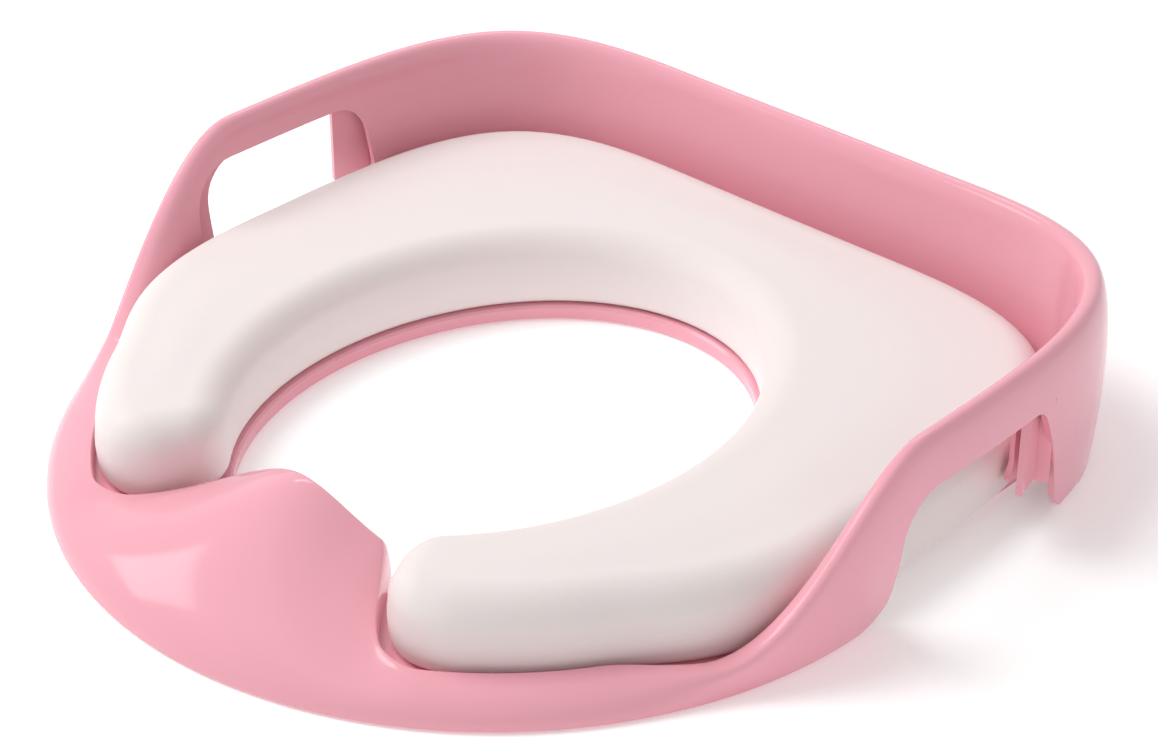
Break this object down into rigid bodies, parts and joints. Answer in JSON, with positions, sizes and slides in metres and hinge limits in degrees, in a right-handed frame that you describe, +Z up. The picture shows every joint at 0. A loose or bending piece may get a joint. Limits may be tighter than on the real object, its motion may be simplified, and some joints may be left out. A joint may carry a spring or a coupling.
{
  "type": "potty training seat",
  "caption": "Child's toilet training seat: glossy double-walled frame with armrests, hand openings and splash guard, holding a soft horseshoe cushion.",
  "frame": {"origin": "centre of the seat's bounding box in plan, on the floor under its grip pads", "axes": "+X to the right seen from the front, +Y from the splash guard to the back wall, +Z up"},
  "size_m": [0.324, 0.3246, 0.0662],
  "materials": {
    "frame": "glossy pink moulded polypropylene",
    "cushion": "smooth off-white polyurethane skin over soft foam",
    "cushion_board": "off-white moulded polypropylene",
    "grip_pad": "matt grey-white thermoplastic rubber"
  },
  "bodies": {
    "root": {"frame": "frame", "cushion": "cushion", "cushion_board": "cushion_board", "grip_pad_right_front": "grip_pad", "grip_pad_right_back": "grip_pad", "grip_pad_left_back": "grip_pad", "grip_pad_left_front": "grip_pad"}
  },
  "joints": []
}
